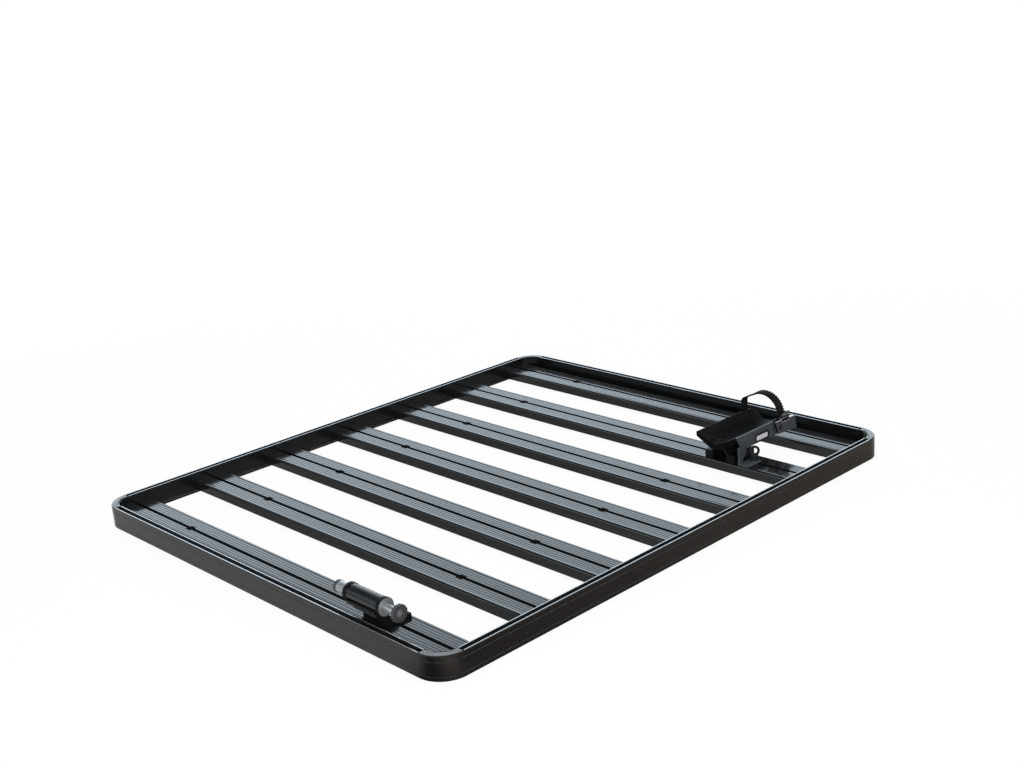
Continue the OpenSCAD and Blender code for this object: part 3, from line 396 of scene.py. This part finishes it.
def edge_wear_and_highlight(tree, color, edge_color, radius, share):
    """Lighter sharp edges: wear where hands and gear rub them, and a painted highlight."""
    soft_normal = tree.nodes.new("ShaderNodeBevel")
    soft_normal.samples = 4
    soft_normal.inputs["Radius"].default_value = radius
    true_normal = tree.nodes.new("ShaderNodeNewGeometry")
    dot = tree.nodes.new("ShaderNodeVectorMath")
    dot.operation = "DOT_PRODUCT"
    tree.links.new(soft_normal.outputs[0], dot.inputs[0])
    tree.links.new(true_normal.outputs["Normal"], dot.inputs[1])
    edge_lightening = smooth_range(tree, dot.outputs["Value"], *EDGE_TURN, 0.0, share)
    return color_mix(tree, edge_lightening, color, edge_color)


def facing_up(tree):
    """1 on faces that look up on the piece, 0 on upright and hanging ones."""
    axes = tree.nodes.new("ShaderNodeSeparateXYZ")
    tree.links.new(tree.nodes.new("ShaderNodeTexCoord").outputs["Normal"], axes.inputs[0])
    return smooth_range(tree, axes.outputs["Z"], *UP_TURN)


# %% [markdown]
# The rails and corners wear a black powder coat: nearly black, satin, with the faint orange peel that
# baked powder has. Fine noise gives the peel, and broad noise makes the gloss drift a little. Faces
# that look up are painted lighter and metallic in patches, a painted sheen: a lot on the rails, a
# little on the corner castings. Sharp edges are painted lighter, wear and a painted highlight.

# %% Powder coat
COAT_DARK, COAT_LIGHT, COAT_EDGE = (0.0042, 0.0042, 0.0043), (0.0068, 0.0067, 0.0066), (0.012, 0.012, 0.0125)
TOP_SHEEN_METAL = (0.60, 0.62, 0.64)


def powder_coat(name, top_sheen):
    finish, tree, shader, place = new_finish(name, (0.004, 0.004, 0.004), 0.20)
    color = ramp(tree, noise(tree, place, 3.0), COAT_DARK, COAT_LIGHT)
    # Sharp edges are painted lighter: wear and a painted highlight.
    color = edge_wear_and_highlight(tree, color, COAT_EDGE, 0.0008, 0.5)
    # Faces that look up are painted lighter and metallic in patches: a painted sheen.
    patchy = spread(tree, noise(tree, place, 7.0), 0.75 * top_sheen, 1.2 * top_sheen)
    top_sheen_mask = math_node(tree, "MULTIPLY", facing_up(tree), patchy)
    tree.links.new(color_mix(tree, top_sheen_mask, color, TOP_SHEEN_METAL), shader.inputs["Base Color"])
    tree.links.new(top_sheen_mask, shader.inputs["Metallic"])
    tree.links.new(spread(tree, noise(tree, place, 11.0), 0.16, 0.25), shader.inputs["Roughness"])
    bump(tree, shader, noise(tree, place, 900.0, 2.0), 0.05, 0.0002)
    return finish


rail_coat = powder_coat("rail_powder_coat", 0.76)
casting_coat = powder_coat("casting_powder_coat", 0.20)
print("finishes:", rail_coat.name, casting_coat.name)

# %% [markdown]
# The slats are drawn through a die, so their satin black carries fine lines along their length. The
# noise is stretched along X to draw them. At a low view they mirror the white room and look grey. The
# grip grooves are painted darker, a painted shade, and are duller: the distance from the slat's middle
# says where they run.

# %% Drawn slats
SLAT_PITCH, GROOVE_FIRST, GROOVE_PITCH, GROOVE_LAST = 0.202, 0.010, 0.007, 0.031
GROOVE_BAND_SIDES, GROOVE_BAND_END = (0.0022, 0.0006), (GROOVE_LAST + 0.003, GROOVE_LAST + 0.002)
GROOVE_SHADE_COLOR, GROOVE_ROUGHNESS = (0.004, 0.004, 0.0042), 0.18
drawn, tree, shader, place = new_finish("drawn_slat_satin", (0.008, 0.0085, 0.009), 0.12, 0.0, 1.0)
axes = tree.nodes.new("ShaderNodeSeparateXYZ")
tree.links.new(place, axes.inputs[0])
wrap = tree.nodes.new("ShaderNodeMath")
wrap.operation = "WRAP"
wrap.inputs[1].default_value, wrap.inputs[2].default_value = SLAT_PITCH / 2, -SLAT_PITCH / 2
tree.links.new(axes.outputs["Y"], wrap.inputs[0])
from_slot = math_node(tree, "ABSOLUTE", wrap.outputs[0], 0.0)
past_first = math_node(tree, "SUBTRACT", from_slot, GROOVE_FIRST)
from_groove = math_node(tree, "PINGPONG", past_first, GROOVE_PITCH / 2)
# Bands along the grip grooves: the colour gets a painted shade and the surface more roughness.
groove_shade = smooth_range(tree, from_groove, *GROOVE_BAND_SIDES)
groove_shade = math_node(tree, "MULTIPLY", groove_shade, smooth_range(tree, from_slot, *GROOVE_BAND_END))
streaks = noise(tree, place, 1.0, 2.0, (1.2, 90, 90))
color = ramp(tree, streaks, (0.0065, 0.0068, 0.0071), (0.0105, 0.011, 0.0115))
# Sharp edges are painted lighter: wear and a painted highlight.
color = edge_wear_and_highlight(tree, color, (0.05, 0.052, 0.055), 0.0008, 0.3)
# The grooves are painted darker here: a painted shade.
tree.links.new(color_mix(tree, groove_shade, color, GROOVE_SHADE_COLOR), shader.inputs["Base Color"])
dulled = math_node(tree, "MULTIPLY", groove_shade, GROOVE_ROUGHNESS)
gloss = math_node(tree, "ADD", spread(tree, streaks, 0.075, 0.105), dulled)
tree.links.new(gloss, shader.inputs["Roughness"])
bump(tree, shader, noise(tree, place, 1.0, 2.0, (1.2, 400, 400)), 0.006, 0.0002)
print("finish:", drawn.name)

# %% [markdown]
# The fork block, the cradle's base and the knobs are moulded nylon: dark, slightly rough, with the
# fine pebble that is etched into a mould. The tray and the collars are softer and duller. Sharp edges
# are painted lighter, wear and a painted highlight, and the lever's upper faces are painted pale, a
# painted highlight.

# %% Moulded plastics
TOP_SHEEN_PALE, EDGE_RADIUS, EDGE_SHARE = (0.70, 0.71, 0.72), 0.0012, 0.5


def moulded(name, dark, light, rough, specular=0.5, grain=1400.0, depth=0.25, edge=None, top_sheen=0.0):
    finish, tree, shader, place = new_finish(name, light, rough, 0.0, specular)
    color = ramp(tree, noise(tree, place, 40.0), dark, light)
    # Edges are painted lighter than the body: wear and a painted highlight.
    edge = edge or tuple(min(1.0, c * 2.2 + 0.012) for c in light)
    color = edge_wear_and_highlight(tree, color, edge, EDGE_RADIUS, EDGE_SHARE)
    if top_sheen:
        # Faces that look up are painted pale: a painted highlight.
        pale = math_node(tree, "MULTIPLY", facing_up(tree), top_sheen)
        color = color_mix(tree, pale, color, TOP_SHEEN_PALE)
    tree.links.new(color, shader.inputs["Base Color"])
    tree.links.new(spread(tree, noise(tree, place, 60.0), rough - 0.06, rough + 0.07),
                   shader.inputs["Roughness"])
    bump(tree, shader, noise(tree, place, grain, 3.0), depth, 0.0004)
    return finish


block_nylon = moulded("black_block_nylon", (0.0040, 0.0040, 0.0044), (0.0062, 0.0062, 0.0067),
                      0.42, 0.2)
tray_rubber = moulded("tray_rubber", (0.0034, 0.0034, 0.0036), (0.0052, 0.0052, 0.0055),
                      0.62, 0.07, grain=1800.0, depth=0.30)
plate_nylon = moulded("blue_grey_nylon", (0.049, 0.058, 0.065), (0.060, 0.070, 0.078), 0.45, 0.4)
# The lever's faces that look up are painted pale: a painted highlight.
lever_nylon = moulded("lever_nylon", (0.051, 0.060, 0.067), (0.062, 0.072, 0.080),
                      0.45, 0.4, top_sheen=0.85)
knob_nylon = moulded("grey_knob_nylon", (0.034, 0.036, 0.040), (0.048, 0.051, 0.056), 0.4)
# The strap's edges are painted lighter: wear and a painted highlight.
strap_nylon = moulded("black_strap_nylon", (0.0036, 0.0036, 0.0038), (0.0055, 0.0055, 0.0058),
                      0.45, 0.13, edge=(0.075, 0.076, 0.080))
collar_rubber = moulded("collar_rubber", (0.0025, 0.0025, 0.0025), (0.0045, 0.0045, 0.0045), 0.6, 0.2)
panel_film = moulded("pale_panel_film", (0.62, 0.65, 0.69), (0.72, 0.75, 0.79),
                     0.3, 0.5, grain=900.0, depth=0.05)
eye_nylon = moulded("dark_eye_nylon", (0.012, 0.013, 0.015), (0.019, 0.021, 0.024), 0.42, 0.3)
rim_black = moulded("rim_black", (0.0040, 0.0055, 0.0085), (0.0065, 0.0085, 0.0125), 0.4, 0.3)
print("moulded:", [finish.name for finish in (
    block_nylon, tray_rubber, plate_nylon, lever_nylon, knob_nylon, strap_nylon, collar_rubber,
    panel_film, eye_nylon, rim_black)])

# %% [markdown]
# Turned and plated metal: bolts and pins are zinc plated, with a mottled grey. The end caps are turned
# on a lathe, with fine lines round them, and the tube is anodised dark grey with fine lines along it.

# %% Metals


def metal(name, dark, light, rough, stretch, strength=0.06, metallic=1.0):
    finish, tree, shader, place = new_finish(name, light, rough, metallic)
    pattern = noise(tree, place, 1.0, 3.0, stretch)
    tree.links.new(ramp(tree, pattern, dark, light), shader.inputs["Base Color"])
    tree.links.new(spread(tree, pattern, rough - 0.06, rough + 0.08), shader.inputs["Roughness"])
    bump(tree, shader, pattern, strength, 0.0002)
    return finish


zinc = metal("zinc_plate", (0.36, 0.37, 0.38), (0.52, 0.53, 0.54), 0.34, (400, 400, 400))
turned = metal("turned_cap", (0.46, 0.47, 0.48), (0.57, 0.58, 0.59),
               0.34, (1500, 30, 30), 0.05, 0.82)
anodised = metal("anodised_tube", (0.075, 0.075, 0.076), (0.105, 0.105, 0.106),
                 0.26, (20, 260, 260), 0.015)
tab_grey = metal("tab_grey", (0.14, 0.14, 0.14), (0.20, 0.20, 0.20),
                 0.45, (500, 500, 500), 0.05, 0.3)
blackened = metal("blackened_steel", (0.07, 0.07, 0.070), (0.12, 0.12, 0.12), 0.42, (500, 500, 500))
print("metals:", [finish.name for finish in (zinc, turned, anodised, tab_grey, blackened)])

# %% [markdown]
# Now each piece is rounded as its making would leave it and gets its finish. The frame comes first.
# An extruded rail or slat has barely broken edges, and a corner casting has a fuller crown.

# %% Frame and slats
RAILS = ["front_rail", "rear_rail", "left_rail", "right_rail"]
CORNERS = ["corner_front_left", "corner_front_right", "corner_rear_left", "corner_rear_right"]
SLATS = ["slat_%d" % k for k in range(1, 8)]
BROKEN_EDGE, RAIL_CROWN, CORNER_CROWN = 0.0003, 0.0017, 0.0030
made = {}
for names, slot, finish, segments, crown in ((RAILS, "rail", rail_coat, 3, RAIL_CROWN),
                                             (CORNERS, "casting", casting_coat, 3, CORNER_CROWN),
                                             (SLATS, "slat", drawn, 2, 0.0)):
    for name in names:
        made[name] = rounded(name, BROKEN_EDGE, segments, crown)
        made[name].data.materials.append(finish)
print("frame pieces:", len(made), "faces:", sum(len(p.data.polygons) for p in made.values()))

# %% [markdown]
# The fork mount and the cradle are moulded, turned and stamped, so each piece has its own rounding.
# The table gives the rounding, the slot and the finish. Small fasteners keep their CAD mesh.

# %% Fork mount and cradle
DRESS = {
    "fork_block": (0.0012, "black", block_nylon), "fork_tube": (0.0005, "tube", anodised),
    "tube_collars": (0.0004, "collar", collar_rubber), "axle_cap_left": (0.0006, "cap", turned),
    "axle_cap_right": (0.0006, "cap", turned), "fork_axle": (0.0006, "steel", turned),
    "axle_head": (0.0008, "knob", knob_nylon), "axle_knob": (0.0006, "knob", knob_nylon),
    "cradle_base": (0.0012, "black", block_nylon), "wheel_tray": (0.0012, "tray", tray_rubber),
    "side_plate": (0.0007, "plate", plate_nylon), "side_panel": (0.0003, "panel", panel_film),
    "clamp_knob": (0.0006, "knob", eye_nylon), "ratchet_lever": (0.0007, "plate", lever_nylon),
    "buckle_base": (0.0003, "bracket", blackened), "strap_anchor": (0.0003, "bracket", blackened),
    "ratchet_strap": (0.0003, "strap", strap_nylon), "drive_pawl": (0.0002, "pawl", blackened),
    "release_tab": (0.0003, "pawl", tab_grey), "slat_brackets": (0.0004, "bracket", casting_coat),
}
for name, (width, slot, finish) in DRESS.items():
    made[name] = rounded(name, width)
    made[name].data.materials.append(finish)
for name, cad in nodes.items():
    if name not in made:
        cad.data.materials.clear()
        cad.data.materials.append(zinc)
print("dressed pieces:", len(made), "plain fasteners:", len(nodes) - len(made))

# %% [markdown]
# A few small things are too fine for the CAD model and are modelled here. The pale plate on the cradle
# sits in a dark raised rim. It starts as a flat rectangle whose corners are rounded, an inset leaves a
# ring, and Solidify gives the ring its thickness. All of it happens round the plate's own box.

# %% Rim round the pale plate
RIM_WIDTH, RIM_HEIGHT, RIM_CORNER, RIM_OVERLAP = 0.0046, 0.0008, 0.0075, 0.0001
PLATE_FACE, SMALL_EDGE = 0.4065, 0.0003


def begin(name):
    """Names the new primitive, puts its place in its mesh and goes into edit mode."""
    piece = bpy.context.active_object
    piece.name = name
    bpy.ops.object.transform_apply(location=True, rotation=True, scale=True)
    bpy.ops.object.mode_set(mode="EDIT")
    bpy.ops.mesh.select_all(action="SELECT")
    return piece


def thicken(piece, thickness, edge, segments=2):
    """Gives a flat piece its thickness, away from what it lies on, and breaks its edges."""
    bpy.ops.object.mode_set(mode="OBJECT")
    if thickness:
        wall = piece.modifiers.new("thickness", "SOLIDIFY")
        wall.thickness = thickness
        wall.offset = 1.0
        bpy.ops.object.modifier_apply(modifier="thickness")
    soft = piece.modifiers.new("broken_edges", "BEVEL")
    soft.width = edge
    soft.segments = segments
    soft.limit_method = "ANGLE"
    soft.harden_normals = True
    bpy.ops.object.shade_smooth_by_angle(angle=SHARP_ANGLE)
    bpy.ops.object.modifier_apply(modifier="broken_edges")


def finish_piece(piece, body, finish):
    piece.data.materials.clear()
    piece.data.materials.append(finish)
    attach(piece, body)
    points = [v.co for v in piece.data.vertices]
    size = [round(1000 * (max(p[k] for p in points) - min(p[k] for p in points)), 1) for k in range(3)]
    print(piece.name, "faces", len(piece.data.polygons), "size mm", size)


panel_low, panel_high = (Vector(corner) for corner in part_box("side_panel"))
middle = (panel_low + panel_high) / 2
bpy.ops.object.select_all(action="DESELECT")
bpy.ops.mesh.primitive_plane_add(size=1, location=(PLATE_FACE, middle.y, middle.z),
                                 rotation=(0, math.pi / 2, 0))
bpy.context.active_object.scale = (panel_high.z - panel_low.z + 2 * RIM_WIDTH,
                                   panel_high.y - panel_low.y + 2 * RIM_WIDTH, 1)
rim = begin("panel_rim")
bpy.ops.mesh.bevel(affect="VERTICES", offset=RIM_CORNER, segments=6)
bpy.ops.mesh.select_all(action="SELECT")
bpy.ops.mesh.inset(thickness=RIM_WIDTH - RIM_OVERLAP)
bpy.ops.mesh.delete(type="FACE")
thicken(rim, RIM_HEIGHT, SMALL_EDGE)
finish_piece(rim, "rack", rim_black)

# %% [markdown]
# Each end cap of the fork tube stands in a black lip of its collar. A filled circle is inset to leave a
# ring, and Solidify draws the ring out along the tube. The two ends look opposite ways.

# %% Lips of the collars
LIP_RADIUS, LIP_WALL, LIP_LENGTH, LIP_EDGE = 0.0183, 0.00125, 0.0026, 0.0004
tube_low, tube_high = (Vector(corner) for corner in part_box("fork_tube"))
tube_middle = (tube_low + tube_high) / 2
for side, x, turn in (("left", tube_low.x, -math.pi / 2), ("right", tube_high.x, math.pi / 2)):
    bpy.ops.object.select_all(action="DESELECT")
    bpy.ops.mesh.primitive_circle_add(vertices=64, radius=LIP_RADIUS, fill_type="NGON",
                                      location=(x, tube_middle.y, tube_middle.z), rotation=(0, turn, 0))
    lip = begin("collar_lip_" + side)
    bpy.ops.mesh.inset(thickness=LIP_WALL)
    bpy.ops.mesh.delete(type="FACE")
    thicken(lip, LIP_LENGTH, LIP_EDGE, 3)
    finish_piece(lip, "rack", collar_rubber)

# %% [markdown]
# The hand lever has a soft black strip along its leading edge, a painted shadow of the seam in front
# of it, a washer round its rivet and low ribs along its face for the thumb. Each lies on the lever's
# outer face and swings with it.

# %% Painted shadow strip on the lever
LEVER_FACE, LEVER_BACK = 0.41485, 0.41185
EDGE_TOP, EDGE_LOW = Vector((0, 0.490, 0.095)), Vector((0, 0.503, 0.064))
SHADOW_STRIP_PROUD, SHADOW_STRIP_WIDTH, SHADOW_STRIP_SHORT, SHADOW_STRIP_ROUND = 0.0008, 0.0026, 0.0006, 0.0006
along, center = EDGE_LOW - EDGE_TOP, (EDGE_TOP + EDGE_LOW) / 2
bpy.ops.object.select_all(action="DESELECT")
bpy.ops.mesh.primitive_cube_add(size=1, location=((LEVER_FACE + LEVER_BACK) / 2, center.y, center.z),
                                rotation=(math.atan2(along.y, -along.z), 0, 0))
bpy.context.active_object.scale = (LEVER_FACE - LEVER_BACK + SHADOW_STRIP_PROUD, SHADOW_STRIP_WIDTH,
                                   along.length - SHADOW_STRIP_SHORT)
# A black strip on the leading edge: a painted shadow of the seam there.
seam_shadow_strip = begin("lever_seam_shadow")
thicken(seam_shadow_strip, 0.0, SHADOW_STRIP_ROUND, 3)
finish_piece(seam_shadow_strip, "lever", collar_rubber)

# %% Rivet washer
WASHER_RADIUS, WASHER_RING, WASHER_HEIGHT, WASHER_EDGE = 0.0062, 0.0024, 0.0006, 0.0002
rivet_low, rivet_high = (Vector(corner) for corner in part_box("lever_rivet"))
rivet = (rivet_low + rivet_high) / 2
bpy.ops.object.select_all(action="DESELECT")
bpy.ops.mesh.primitive_circle_add(vertices=40, radius=WASHER_RADIUS, fill_type="NGON",
                                  location=(LEVER_FACE, rivet.y, rivet.z), rotation=(0, math.pi / 2, 0))
washer = begin("rivet_washer")
bpy.ops.mesh.inset(thickness=WASHER_RING)
bpy.ops.mesh.delete(type="FACE")
thicken(washer, WASHER_HEIGHT, WASHER_EDGE)
finish_piece(washer, "lever", rim_black)

# %% Lever ribs
RIB_START, RIB_END, RIB_TOP, RIB_STEP, RIBS = 0.521, 0.5665, 0.0795, 0.0042, 4
RIB_THICK, RIB_WIDTH, RIB_DROP, RIB_RUN = 0.0010, 0.0013, 0.004, 0.077
CUBE_FACES = 6
bpy.ops.object.select_all(action="DESELECT")
bpy.ops.mesh.primitive_cube_add(size=1, location=(LEVER_FACE, (RIB_START + RIB_END) / 2, RIB_TOP),
                                rotation=(-math.atan2(RIB_DROP, RIB_RUN), 0, 0))
bpy.context.active_object.scale = (RIB_THICK, RIB_END - RIB_START, RIB_WIDTH)
ribs = begin("lever_ribs")
for k in range(1, RIBS):
    bpy.ops.mesh.select_all(action="DESELECT")
    bpy.ops.object.mode_set(mode="OBJECT")
    for face in ribs.data.polygons[:CUBE_FACES]:
        face.select = True
    bpy.ops.object.mode_set(mode="EDIT")
    bpy.ops.mesh.duplicate_move(TRANSFORM_OT_translate={"value": (0, 0, -k * RIB_STEP)})
thicken(ribs, 0.0, SMALL_EDGE)
finish_piece(ribs, "lever", plate_nylon)

# %% [markdown]
# The tray's trough has rows of low round dots for grip, and small studs stand along its near lip. One
# dot is a sphere cut below its middle and flattened. A ray cast down on the tray finds where each copy
# sits.

# %% Dots and studs on the tray
DOME_CUT, ABOVE_TRAY, DOME_ANGLE = 0.35, 0.2, math.radians(50)
DOT_X, DOT_X_STEP, DOT_Y, DOT_Y_STEP = 0.3285 + 0.0055, 0.011, 0.362, 0.012
STUD_X, STUD_Y = 0.4005, (0.3585, 0.372, 0.421, 0.448)
tray = made["wheel_tray"]


def dotted(name, places, radius, rise):
    """One object with a low dome at each place on the tray."""
    bpy.ops.object.select_all(action="DESELECT")
    bpy.ops.mesh.primitive_uv_sphere_add(segments=12, ring_count=8, radius=radius, location=(0, 0, 0))
    dome = begin(name)
    bpy.ops.mesh.bisect(plane_co=(0, 0, -radius * DOME_CUT), plane_no=(0, 0, 1), clear_inner=True,
                        use_fill=True)
    bpy.ops.transform.resize(value=(1, 1, rise / radius))
    bpy.ops.object.mode_set(mode="OBJECT")
    bpy.ops.object.shade_smooth_by_angle(angle=DOME_ANGLE)
    copies = []
    for x, y in places:
        hit, point, normal, _ = tray.ray_cast((x, y, ABOVE_TRAY), (0, 0, -1))
        if hit:
            copy = bpy.data.objects.new(name + "_copy", dome.data.copy())
            turn = normal.to_track_quat("Z", "Y").to_matrix().to_4x4()
            copy.data.transform(Matrix.Translation(point) @ turn)
            scene.collection.objects.link(copy)
            copies.append(copy)
    bpy.data.objects.remove(dome)
    for copy in copies:
        copy.select_set(True)
    bpy.context.view_layer.objects.active = copies[0]
    bpy.ops.object.join()
    copies[0].name = name
    return copies[0]


dot_places = [(DOT_X + DOT_X_STEP * i, DOT_Y + DOT_Y_STEP * k) for i in range(4) for k in range(5)]
dots = dotted("grip_dots", dot_places, radius=0.0022, rise=0.0010)
finish_piece(dots, "rack", tray_rubber)
studs = dotted("lip_studs", [(STUD_X, y) for y in STUD_Y], radius=0.0017, rise=0.0012)
finish_piece(studs, "rack", blackened)
